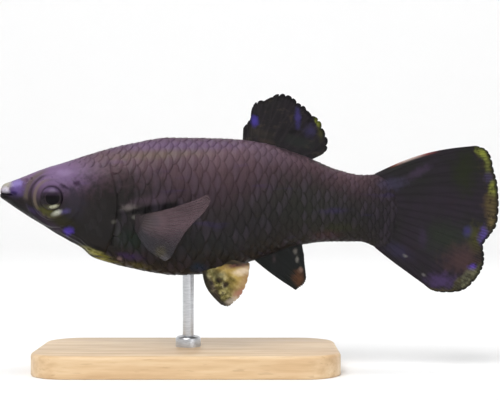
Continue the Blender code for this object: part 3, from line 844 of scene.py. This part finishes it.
class FishPaint(Paint):
    """A paint that knows the s and z of the side view."""

    def __init__(self, name):
        super().__init__(name)
        x, z = self.axes(self.at, "XZ")
        self.s, self.z = x * METRE + TOTAL_LENGTH / 2, z * METRE - AXIS_HEIGHT

    def spot(self, centre, size, climb=0.0, ragged=0.0):
        """A soft round patch, with an uneven edge where ragged is a cloud."""
        back_from = self.s - centre[0]
        across, up = back_from / size[0], (self.z - centre[1] - back_from * climb) / size[1]
        return ((across * across + up * up) ** 0.5 + ragged).soft(1.3, 0.1)

    def lay_patches(self, marks):
        """Lays soft patches with broken edges over the colour: blotches and, from some tables, painted
        highlights and painted shadows.
        """
        ragged = (self.clouds(0.9, 4.0, 0.6) - 0.5) * 1.5
        for centre, size, tint, amount, *climb in marks:
            self.lay(self.spot(centre, size, *climb, ragged=ragged) * amount, tint)


# Patches of the side view, each (centre, size, colour, amount) and, where it slants, its climb to the rear.
# Most are blotches of the fish's colour; the rows marked in the body's and the face's tables are painted
# highlights and painted shadows.
BODY_MARKS_AND_PAINTED_LIGHT = (
    ((28.0, 8.6), (14.0, 1.2), (104, 84, 122), 0.45),
    ((26.0, 7.2), (10.0, 0.9), (104, 94, 72), 0.4, 0.05),
    ((42.5, 7.8), (5.5, 2.4), (96, 80, 94), 0.45, -0.25),
    ((19.5, -1.0), (9.0, 6.5), (29, 28, 27), 0.9),
    ((21.5, -6.3), (3.4, 2.0), (22, 36, 28), 0.6),
    ((21.0, -8.9), (2.6, 0.8), (54, 40, 74), 0.7, -0.12),
    ((22.4, -10.5), (2.2, 0.8), (74, 70, 28), 0.65, -0.15),
    ((19.3, -9.3), (0.5, 0.45), (130, 108, 106), 0.7),
    # Painted shadow along the lower edge of the head behind the jaw.
    ((16.3, -7.7), (3.2, 0.4), (10, 9, 10), 0.85, -0.45),
    ((31.8, -10.8), (1.6, 0.9), (32, 52, 74), 0.6),
    ((21.2, -1.25), (1.6, 0.7), (112, 104, 102), 0.6, 0.1),
    ((22.1, -2.7), (0.9, 0.45), (96, 94, 90), 0.6, -0.2),
    # The next two: a painted shadow in the gap above the pectoral fin's upper edge.
    ((24.3, -1.35), (5.6, 0.6), (10, 8, 10), 1.0, 0.17),
    ((25.0, -1.3), (4.6, 0.5), (12, 10, 12), 0.9, 0.16),
    ((25.0, 0.1), (4.6, 0.9), (72, 57, 68), 0.6, 0.17),
    ((18.75, -3.4), (0.55, 0.4), (94, 92, 86), 0.45, 0.2),
    # Painted highlight along the gill cover's rear edge.
    ((19.3, -5.0), (0.45, 1.4), (60, 66, 60), 0.35),
    ((49.5, -0.5), (8.5, 5.5), (38, 39, 33), 0.6, -0.2),
    ((33.0, -7.0), (8.0, 3.0), (34, 36, 36), 0.4),
    ((45.8, 8.0), (4.2, 0.75), (36, 32, 34), 0.7, -0.4),
    ((51.5, 5.9), (3.0, 0.7), (50, 51, 48), 0.6, -0.4),
    ((53.3, -1.7), (2.8, 0.55), (54, 44, 84), 0.4, 0.05),
    ((54.0, -4.4), (3.6, 0.9), (40, 42, 22), 0.6),
    ((52.2, -5.6), (2.8, 0.9), (60, 38, 38), 0.6),
    ((62.6, 2.7), (2.4, 1.1), (62, 58, 84), 0.6, 0.1),
)
FACE_MARKS_AND_PAINTED_LIGHT = (
    # Painted highlight on the brow.
    ((10.7, 4.3), (1.8, 0.7), (150, 126, 164), 0.3, -0.1),
    ((2.7, 2.0), (1.9, 1.9), (94, 76, 134), 0.8),
    # Painted highlight on the snout's violet.
    ((2.7, 2.6), (1.4, 0.7), (142, 128, 186), 0.7, 0.1),
    ((2.3, 1.1), (0.8, 0.45), (42, 24, 84), 0.85),
    ((0.9, 2.4), (1.3, 1.1), (168, 164, 148), 0.95),
    # The upper lip's pale colour with a painted highlight on it.
    ((0.95, 1.55), (0.9, 0.65), (232, 224, 242), 0.95),
    ((0.5, 0.4), (1.5, 0.9), (9, 8, 11), 1.0, -0.3),
    ((4.6, -1.4), (5.6, 1.5), (30, 25, 26), 0.9, -0.66),
    # Painted shadow along the lower edge of the jaw.
    ((4.9, -2.3), (6.0, 0.6), (8, 7, 8), 1.0, -0.66),
    ((8.6, -3.9), (4.2, 1.0), (62, 50, 66), 0.55, -0.62),
    ((5.6, -1.7), (1.4, 0.7), (52, 42, 74), 0.6, -0.5),
    # The next two: a painted highlight under the eye, pale with a violet rear end.
    ((9.6, -2.05), (0.95, 0.45), (196, 198, 182), 0.9, 0.35),
    ((11.0, -1.75), (1.1, 0.5), (84, 74, 128), 0.6, 0.2),
    ((10.0, -2.95), (1.2, 0.4), (20, 19, 16), 0.7, 0.25),
    # Painted shade in the fold behind the eye.
    ((10.9, 2.1), (1.2, 0.38), (38, 27, 44), 0.85, -0.55),
    ((12.7, 2.65), (0.7, 0.5), (44, 25, 48), 0.85),
    ((11.25, -4.85), (1.0, 0.8), (74, 50, 160), 0.9, 0.1),
    ((10.3, -3.4), (2.6, 1.2), (40, 38, 22), 0.85, -0.2),
    ((12.4, -0.2), (2.2, 2.8), (46, 42, 52), 0.7),
    ((14.6, -8.9), (0.6, 0.4), (10, 10, 8), 0.9, -0.3),
)
TAIL_MARKS = (
    ((74.6, 4.6), (2.2, 4.4), (30, 35, 16), 0.75),
    ((74.9, -5.1), (0.9, 1.0), (60, 52, 110), 0.7),
    ((76.1, -6.3), (1.3, 2.6), (66, 66, 28), 0.8),
    ((71.5, -6.2), (4.8, 3.4), (36, 43, 33), 0.6),
    ((74.0, -9.6), (3.6, 2.8), (68, 49, 48), 0.7),
    ((75.6, -10.7), (0.8, 0.6), (84, 58, 156), 0.85),
    ((70.6, -13.0), (2.8, 1.5), (66, 50, 86), 0.8),
    ((62.9, 2.6), (2.6, 1.2), (58, 54, 74), 0.6, 0.1),
    ((67.7, -5.9), (0.9, 2.0), (54, 40, 66), 0.4),
    ((63.8, -8.2), (2.4, 1.3), (46, 42, 66), 0.5, -0.4),
    ((64.9, -9.0), (0.45, 0.3), (110, 108, 104), 0.7, -0.3),
    ((67.8, -12.0), (0.45, 0.3), (104, 100, 100), 0.7, -0.3),
    ((67.0, 4.5), (2.4, 1.0), (66, 52, 74), 0.5, 0.5),
)
DORSAL_MARKS = (
    ((40.7, 12.7), (0.7, 1.0), (66, 54, 142), 0.75, -0.2),
    ((47.6, 13.3), (0.6, 1.9), (60, 52, 112), 0.6),
    ((49.6, 11.1), (1.1, 1.3), (48, 43, 76), 0.65),
    ((50.9, 12.5), (0.8, 0.7), (150, 156, 58), 0.85, -0.8),
    ((51.3, 11.0), (0.7, 1.5), (62, 62, 28), 0.7),
    ((41.3, 10.9), (2.4, 0.9), (58, 52, 42), 0.3, -0.25),
    ((48.0, 9.3), (2.8, 1.1), (34, 39, 35), 0.6, -0.2),
    ((42.4, 9.4), (1.6, 0.5), (54, 44, 40), 0.6, -0.3),
)
MARGIN_MARKS = (
    ((77.3, 7.5), (1.4, 1.0), (138, 146, 56), 0.8, -0.6),
    ((78.3, 5.6), (0.7, 1.5), (104, 108, 48), 0.6),
    ((78.4, 3.6), (1.0, 1.0), (56, 48, 82), 0.7),
    ((79.1, 1.8), (0.8, 1.4), (132, 138, 56), 0.75),
    ((78.6, -0.8), (1.3, 2.2), (84, 70, 44), 0.65),
    ((78.9, -3.4), (1.0, 1.7), (110, 94, 58), 0.65),
    ((77.5, -5.6), (1.1, 1.6), (78, 62, 132), 0.8, 0.3),
    ((76.7, -11.2), (0.9, 1.1), (94, 96, 60), 0.65, 0.6),
    ((74.6, -12.8), (2.0, 1.5), (110, 110, 86), 0.75, 0.7),
)
ANAL_MARKS = (
    ((47.2, -8.3), (0.4, 0.6), (118, 114, 108), 0.6),
    ((47.5, -9.6), (0.35, 0.7), (134, 130, 124), 0.6),
    ((48.1, -11.2), (0.5, 0.6), (128, 104, 92), 0.75),
    ((47.8, -12.6), (1.2, 1.5), (90, 58, 38), 0.7),
    ((43.8, -9.4), (0.4, 0.8), (76, 64, 68), 0.5),
    ((48.8, -10.8), (0.35, 3.4), (8, 7, 8), 0.9),
)
PELVIC_MARKS = (
    ((33.9, -13.8), (0.7, 1.1), (126, 108, 104), 0.6, -1.5),
    ((34.5, -14.8), (0.7, 1.1), (52, 36, 34), 0.8, -1.2),
    ((34.7, -12.0), (1.6, 1.0), (60, 58, 40), 0.6, -0.4),
    ((35.6, -11.9), (0.8, 0.6), (122, 122, 98), 0.6),
    ((35.1, -12.8), (0.65, 0.6), (24, 18, 14), 0.95),
    ((36.1, -13.5), (0.75, 0.65), (22, 14, 14), 1.0),
    ((36.9, -12.5), (0.9, 0.8), (72, 64, 18), 0.85, -0.6),
    ((35.6, -15.8), (0.8, 0.5), (66, 60, 22), 0.9),
    ((38.7, -11.3), (1.7, 0.7), (224, 204, 178), 0.9, 0.1),
    ((38.4, -14.6), (1.2, 0.7), (164, 114, 98), 0.8, 0.4),
    ((37.0, -16.0), (1.5, 0.6), (186, 172, 158), 0.7, 0.4),
    ((38.0, -10.3), (2.2, 0.6), (80, 40, 50), 0.9, 0.15),
)


def lay_body_colour(paint):
    """Mauve-grey on the back, brown-black on the flank, near black below, and purple on the brow. The lighter
    back and darker belly are partly painted top light, and the darkened jaw is partly painted shade.
    """
    s, height = paint.s, paint.read("height")
    uneven = paint.clouds(6.0, 4.0, 0.6, (0.6, 1, 1))
    # The ramp over height runs from a dark belly to a light back: partly the fish's own colour, partly
    # painted light from above.
    level = height + (uneven - 0.5) * 0.2 - s.soft(34.0, 50.0) * 0.14
    paint.colour = level.ramp(
        (0.0, (35, 31, 28)), (0.26, (32, 30, 31)), (0.45, (43, 37, 39)), (0.58, (56, 43, 48)),
        (0.76, (76, 58, 64)), (0.9, (99, 78, 86)), (1.0, (92, 72, 84)),
    )
    paint.lay(paint.spot((9.0, 4.2), (7.8, 3.8)) * 0.76, (118, 96, 134))
    # Darker under the jaw: partly the lower jaw's own dark colour, partly painted shade under the head.
    jaw = height.soft(0.3, 0.08) * s.soft(16.0, 12.0)
    paint.lay(jaw * 0.85, (20, 16, 18))
    paint.lay(s.soft(56.0, 63.0) * 0.8, (35, 31, 35))
    folds = paint.clouds(0.9, 2.0, squeeze=(0.5, 1, 1.6))
    olive = folds.ramp((0.36, (44, 40, 20)), (0.5, (112, 110, 44)), (0.64, (170, 168, 100)))
    paint.lay(paint.spot((15.9, -8.8), (3.4, 0.9), -0.42) * 0.95, olive)
    streaks = paint.clouds(2.4, 3.0, 0.6, (0.25, 1, 1.6))
    paint.lay(streaks.soft(0.6, 0.78) * 0.12, (62, 44, 128))
    paint.lay(streaks.soft(0.4, 0.28) * 0.2, (50, 48, 28))
    paint.lay_patches(BODY_MARKS_AND_PAINTED_LIGHT)


def skin_paint():
    """The body's colour with the eye's orbit, the folds below it and the face's blotches and painted
    highlights, with painted shade in the eye's socket and in the groove in front of the eye.
    """
    paint = FishPaint("molly_bare_skin")
    lay_body_colour(paint)
    ring_s, ring_z = (paint.s - EYE_S) / math.cos(EYE_FORWARD), paint.z - EYE_Z
    r = (ring_s * ring_s + ring_z * ring_z) ** 0.5
    front = (ring_s + ring_z * 0.4).soft(1.4, -0.9)
    low = ring_z.soft(-0.9, -2.0) * ring_s.soft(1.2, -0.2)
    orbit = r.soft(3.45, 3.05) * r.soft(2.55, 2.9)
    paint.lay(orbit * front * 0.5, (120, 106, 92))
    paint.lay(r.soft(3.3, 2.8) * low * 0.9, (68, 67, 32))
    # Painted shade in the groove of the fold in front of the eye.
    fold = r.soft(3.35, 3.75) * r.soft(4.2, 3.8) * front
    paint.lay(fold * 0.65, (42, 35, 31))
    outer = r.soft(3.95, 4.3) * r.soft(5.2, 4.6) * front * paint.z.soft(-0.6, 0.6)
    paint.lay(outer * 0.7, (88, 78, 68))
    paint.lay_patches(FACE_MARKS_AND_PAINTED_LIGHT)
    # Painted shade in the socket round the eye.
    paint.lay(r.soft(2.15, 1.8) * 0.5, (38, 29, 38))
    pores = paint.clouds(0.35, 2.0)
    wrinkles = paint.clouds(1.1, squeeze=(1.4, 1, 0.6))
    return paint.finish(
        Roughness=0.42 + (wrinkles - 0.5) * 0.3, Normal=paint.bump(pores * 0.5 + wrinkles, 0.5, 0.09),
        Specular_IOR_Level=0.07, Coat_Weight=0.03, Coat_Roughness=0.22,
    )


def scale_paint():
    """The body's colour, a little darker at each scale's edge, with a faint painted sheen before it."""
    paint = FishPaint("molly_scales")
    lay_body_colour(paint)
    rim, shading = paint.read("rim"), paint.read("shade")
    paint.lay(shading * 0.13, (24, 21, 25))
    paint.lay(rim.soft(0.8, 0.98) * 0.05, (24, 20, 24))
    # A painted sheen: a lighter band across the middle of each scale, which is also a little glossier.
    sheen = rim.soft(0.3, 0.55) * rim.soft(0.85, 0.62) * shading.soft(0.35, 1.0)
    paint.lay(sheen * 0.1, (104, 90, 112))
    rings = (rim * 46).math("SINE")
    return paint.finish(
        Roughness=0.44 - sheen * 0.12, Normal=paint.bump(rings * 0.5 + paint.clouds(0.4, 2.0), 0.3, 0.04),
        Specular_IOR_Level=0.1, Coat_Weight=0.03, Coat_Roughness=0.28,
    )


def fin_start(name):
    """What every fin's paint starts from: its fan map and its rays."""
    paint = FishPaint(name)
    t, r = paint.axes(paint.node("UVMap", {"uv_map": "fan"}, {}), "XY")
    return paint, t, r, paint.read("ray")


def fin_finish(paint, r, ray, joints, alpha=1.0):
    """A fin's clearness, its jointed rays' relief and its satin gloss."""
    bands = (r * joints * TURN).math("SINE")
    jointed = bands.soft(0.7, 0.95) * ray * r.soft(0.2, 0.4)
    grain = paint.clouds(0.5)
    return paint.finish(
        Roughness=0.5 - ray * 0.08 + (grain - 0.5) * 0.16, Alpha=alpha,
        Normal=paint.bump(grain * 0.4 - jointed * 0.6, 0.5, 0.05),
        Specular_IOR_Level=0.1, Coat_Weight=0.02, Coat_Roughness=0.3,
    )


def black_fin_start(name):
    """A fin's start with soft black between darker rays, and faint violet and olive clouds."""
    paint, t, r, ray = fin_start(name)
    paint.colour = paint.clouds(5.0, 4.0, 0.6, (0.7, 1, 0.7)).ramp(
        (0.25, (29, 31, 26)), (0.45, (33, 30, 33)), (0.6, (37, 31, 39)), (0.8, (40, 30, 32)),
    )
    paint.lay(ray * 0.35, (18, 15, 18))
    return paint, t, r, ray


def dorsal_paint():
    paint, _, r, ray = black_fin_start("dorsal_black")
    paint.lay(0.6, (22, 20, 21))
    flecks = paint.clouds(1.4, 3.0, 0.6, (0.8, 1, 1.2))
    paint.lay(flecks.soft(0.54, 0.7) * 0.45, (58, 52, 42))
    paint.lay(flecks.soft(0.44, 0.34) * 0.6, (10, 10, 10))
    paint.lay(ray * 0.12, (66, 58, 62))
    paint.lay_patches(DORSAL_MARKS)
    paint.lay(r.soft(0.9, 0.97) * 0.75, (10, 9, 9))
    return fin_finish(paint, r, ray, 20)


def anal_paint():
    paint, _, r, ray = black_fin_start("anal_black")
    paint.lay(0.6, (16, 25, 20))
    paint.lay_patches(ANAL_MARKS)
    return fin_finish(paint, r, ray, 18)


def tail_paint():
    """Black with an olive margin, a dark broken edge and a rosy, clearer rim at the upper root, with a
    painted highlight in the rim's pale middle.
    """
    paint, t, r, ray = black_fin_start("tail_black")
    paint.lay_patches(TAIL_MARKS)
    ragged = r + (paint.clouds(2.2, 4.0, 0.6) - 0.5) * 0.3
    spread = t.soft(0.02, 0.08) * (1 - t.soft(0.46, 0.5) * t.soft(0.7, 0.64) * 0.9)
    margin = ragged.soft(0.88, 0.97) * spread
    paint.lay(margin * 0.75, (72, 66, 34))
    paint.lay_patches(MARGIN_MARKS)
    broken = paint.clouds(1.1, 3.0, 0.6).soft(0.5, 0.62)
    paint.lay(broken * r.soft(0.86, 0.94) * 0.7, (24, 20, 18))
    paint.lay(ray * r.soft(0.86, 0.94) * 0.5, (20, 16, 16))
    paint.lay(r.soft(0.965, 0.99) * 0.8, (14, 12, 13))
    # A rosy rim whose pale middle stops are a painted highlight.
    rim = t.soft(0.035, 0.004) * r.soft(0.12, 0.24) * r.soft(0.66, 0.5)
    paint.lay(rim * 0.85, r.ramp(
        (0.2, (150, 84, 66)), (0.32, (206, 186, 178)), (0.42, (196, 168, 160)), (0.52, (150, 72, 70)),
    ))
    return fin_finish(paint, r, ray, 34, alpha=1 - rim * 0.25)


def pelvic_paint():
    """Pale gold with black mottling and a dark leading edge."""
    paint, t, r, ray = fin_start("pelvic_gold")
    grain = paint.clouds(1.2, 2.5, 0.55)
    paint.colour = grain.ramp(
        (0.36, (70, 66, 32)), (0.47, (110, 104, 56)), (0.56, (150, 142, 92)), (0.66, (196, 188, 142)),
    )
    paint.lay(t.soft(0.45, 0.8) * 0.75, (186, 156, 86))
    paint.lay(t.soft(0.85, 1.0) * 0.6, (204, 190, 156))
    rosy = t.soft(0.35, 0.6) * r.soft(0.72, 0.95)
    paint.lay(rosy * 0.5, (150, 110, 94))
    mottle = paint.clouds(0.95, 2.0).soft(0.52, 0.6) * t.soft(0.7, 0.45)
    paint.lay(mottle * 0.75, (42, 36, 18))
    paint.lay_patches(PELVIC_MARKS)
    body = paint.z + (paint.clouds(0.9, 3.0, 0.6) - 0.5) * 1.2 - t
    lead = (t + r * 0.1 + (grain - 0.5) * 0.3).soft(0.4, 0.2)
    root = body.soft(-11.5, -11.0).math("MAXIMUM", lead)
    paint.lay(root * 0.95, (30, 28, 26))
    paint.lay(ray * 0.15, (120, 100, 70))
    return fin_finish(paint, r, ray, 18, alpha=1 - r.soft(0.6, 1.0) * 0.12)


def pectoral_paint():
    """Smoky mauve membrane, clearer towards its free edge."""
    paint, t, r, ray = fin_start("pectoral_smoke")
    paint.colour = paint.clouds(3.0).ramp((0.3, (80, 66, 70)), (0.5, (98, 80, 86)), (0.7, (88, 76, 84)))
    front = paint.s.soft(27.0, 23.5) * paint.z.soft(-6.0, -3.5)
    paint.lay(front * 0.65, (58, 57, 54))
    paint.lay(t.soft(0.4, 0.8) * 0.9, (42, 44, 48))
    paint.lay(r.soft(0.24, 0.04) * 0.8, (34, 29, 32))
    paint.lay(ray * 0.35, (52, 42, 46))
    paint.lay(paint.spot((26.2, -8.0), (1.1, 1.1)) * 0.3, (100, 94, 58))
    paint.lay(paint.spot((26.9, -9.3), (0.9, 1.0)) * 0.5, (100, 96, 100))
    return fin_finish(paint, r, ray, 26, alpha=0.88 - r.soft(0.2, 0.9) * (1 - ray) * 0.3)


def eye_paint():
    """A dark iris with a silver-olive crescent below the pupil, under a wet gloss, with a painted reflection
    over its upper half and painted shade from the socket round its edge.
    """
    paint = Paint("molly_eye", follow="gaze")
    x, z = paint.axes(paint.at, "XZ")
    rim = (x * x + z * z) ** 0.5
    x = x - PUPIL_BACK
    r = (x * x + z * z) ** 0.5
    # The gaze is in millimetres, not metres, so the iris's threads are 0.35 mm across.
    threads = paint.clouds(350.0, 3.0, 0.6)
    paint.colour = threads.ramp((0.35, (22, 17, 22)), (0.65, (38, 30, 37)))
    paint.lay(z.soft(-0.8, -1.3) * 0.7, (58, 56, 34))
    low_x, low_z = x - 0.1, z + 1.35 - x * 0.2
    for wide, high, tint, amount in ((1.3, 0.5, (104, 104, 76), 0.6), (0.85, 0.34, (188, 190, 166), 0.85)):
        across, up = low_x / wide, low_z / high
        crescent = (across * across + up * up + (threads - 0.5) * 2.0).soft(1.3, -0.3)
        paint.lay(crescent * amount, tint)
    ring = r.soft(1.26, 1.16) * r.soft(1.0, 1.1)
    paint.lay(ring * 0.15, (76, 66, 60))
    paint.lay(r.soft(1.14, 1.0), (7, 5, 8))
    # The next two: a painted reflection on the cornea, purple over the upper half of the eye.
    paint.lay(z.soft(0.15, 0.7) * 0.5, (58, 46, 62))
    paint.lay(z.soft(0.7, 1.3) * 0.85, (96, 78, 108))
    # Painted shade from the socket round the eyeball's edge.
    paint.lay(rim.soft(1.5, 1.85) * 0.45, (34, 27, 34))
    return paint.finish(
        Roughness=0.4 - crescent * 0.15, Coat_Weight=0.1, Coat_Roughness=0.03, Specular_IOR_Level=0.06,
    )


def maple_paint():
    paint = Paint("maple_satin")
    grain = paint.clouds(1.6, 4.0, 0.6, (0.09, 1, 1))
    paint.colour = grain.ramp((0.3, (196, 160, 118)), (0.5, (214, 182, 140)), (0.7, (228, 202, 164)))
    figure = paint.clouds(7.0, squeeze=(0.25, 1, 1))
    paint.lay(figure.soft(0.5, 0.7) * 0.25, (188, 146, 100))
    pores = paint.clouds(0.45, 2.0, squeeze=(0.12, 1, 1)).soft(0.62, 0.72)
    paint.lay(pores * 0.25, (150, 108, 70))
    return paint.finish(
        Roughness=0.42 + grain * 0.12, Normal=paint.bump(grain - pores * 0.4, 0.25, 0.05),
        Coat_Weight=0.3, Coat_Roughness=0.25,
    )


def steel_paint():
    paint = Paint("brushed_steel")
    brushed = paint.clouds(1.2, 4.0, 0.7, (1, 1, 9))
    paint.colour = brushed.ramp((0.3, (176, 178, 182)), (0.7, (214, 215, 218)))
    return paint.finish(Metallic=1.0, Roughness=0.2 + brushed * 0.22, Normal=paint.bump(brushed, 0.15, 0.02))


def floor_paint():
    paint = Paint("pale_floor")
    paint.colour = (0.92, 0.92, 0.92, 1.0)
    return paint.finish(Roughness=0.7, Specular_IOR_Level=0.2)


def make_stage():
    """A pale floor whose rim curves up into a wall all round."""
    outline = [(0.0, 0.0), (0.2, 0.0), (FLOOR_RADIUS, 0.0)]
    outline += [
        (FLOOR_RADIUS + FLOOR_CURVE * math.sin(a), FLOOR_CURVE - FLOOR_CURVE * math.cos(a))
        for a in np.linspace(0.1, math.pi / 2, 14)
    ]
    outline.append((FLOOR_RADIUS + FLOOR_CURVE, WALL_HEIGHT))
    mesh = finished("studio_floor", spun(outline, 96))
    floor = painted("studio_floor", mesh, floor_paint())


def make_light(name, at, size, power, target=(0.0, 0.0, AXIS_HEIGHT * MM)):
    data = bpy.data.lights.new(name, "AREA")
    data.shape = "DISK"
    data.size = size
    data.energy = power
    light = show(name, data)
    light.location = at
    light.rotation_euler = (Vector(target) - Vector(at)).to_track_quat("-Z", "Y").to_euler()


def make_lights():
    """A broad soft light above and in front, a weaker one low in front, one for the wall, and a pale room."""
    make_light("key_light", (-0.14, -0.3, 0.5), 0.4, 2.4)
    make_light("fill_light", (0.3, -0.36, 0.16), 0.35, 0.3)
    make_light("wall_light", (0.0, 0.1, 0.55), 0.4, 1.6, target=(0.0, 0.6, 0.2))
    world = bpy.context.scene.world or bpy.data.worlds.new("room")
    bpy.context.scene.world = world
    world.use_nodes = True
    background = world.node_tree.nodes["Background"]
    background.inputs["Color"].default_value = (1, 1, 1, 1)
    background.inputs["Strength"].default_value = 0.3
    bpy.context.scene.view_settings.view_transform = "Standard"


def make_camera():
    """Level with the fish's axis, square on to its left flank."""
    data = bpy.data.cameras.new("camera")
    data.lens = 85
    data.sensor_width = 36
    data.clip_start = 0.01
    camera = show("camera", data)
    camera.location = CAMERA_PLACE
    camera.rotation_euler = (math.pi / 2, 0, 0)
    bpy.context.scene.camera = camera


make_camera()
make_stage()
make_lights()
make_skin(skin_paint())
make_scales(scale_paint())
make_single_fins({"dorsal": dorsal_paint(), "anal": anal_paint(), "tail": tail_paint()})
make_paired_fins({"pelvic": pelvic_paint(), "pectoral": pectoral_paint()})
make_eyes(eye_paint())
make_base(maple_paint())
make_pillar(steel_paint())
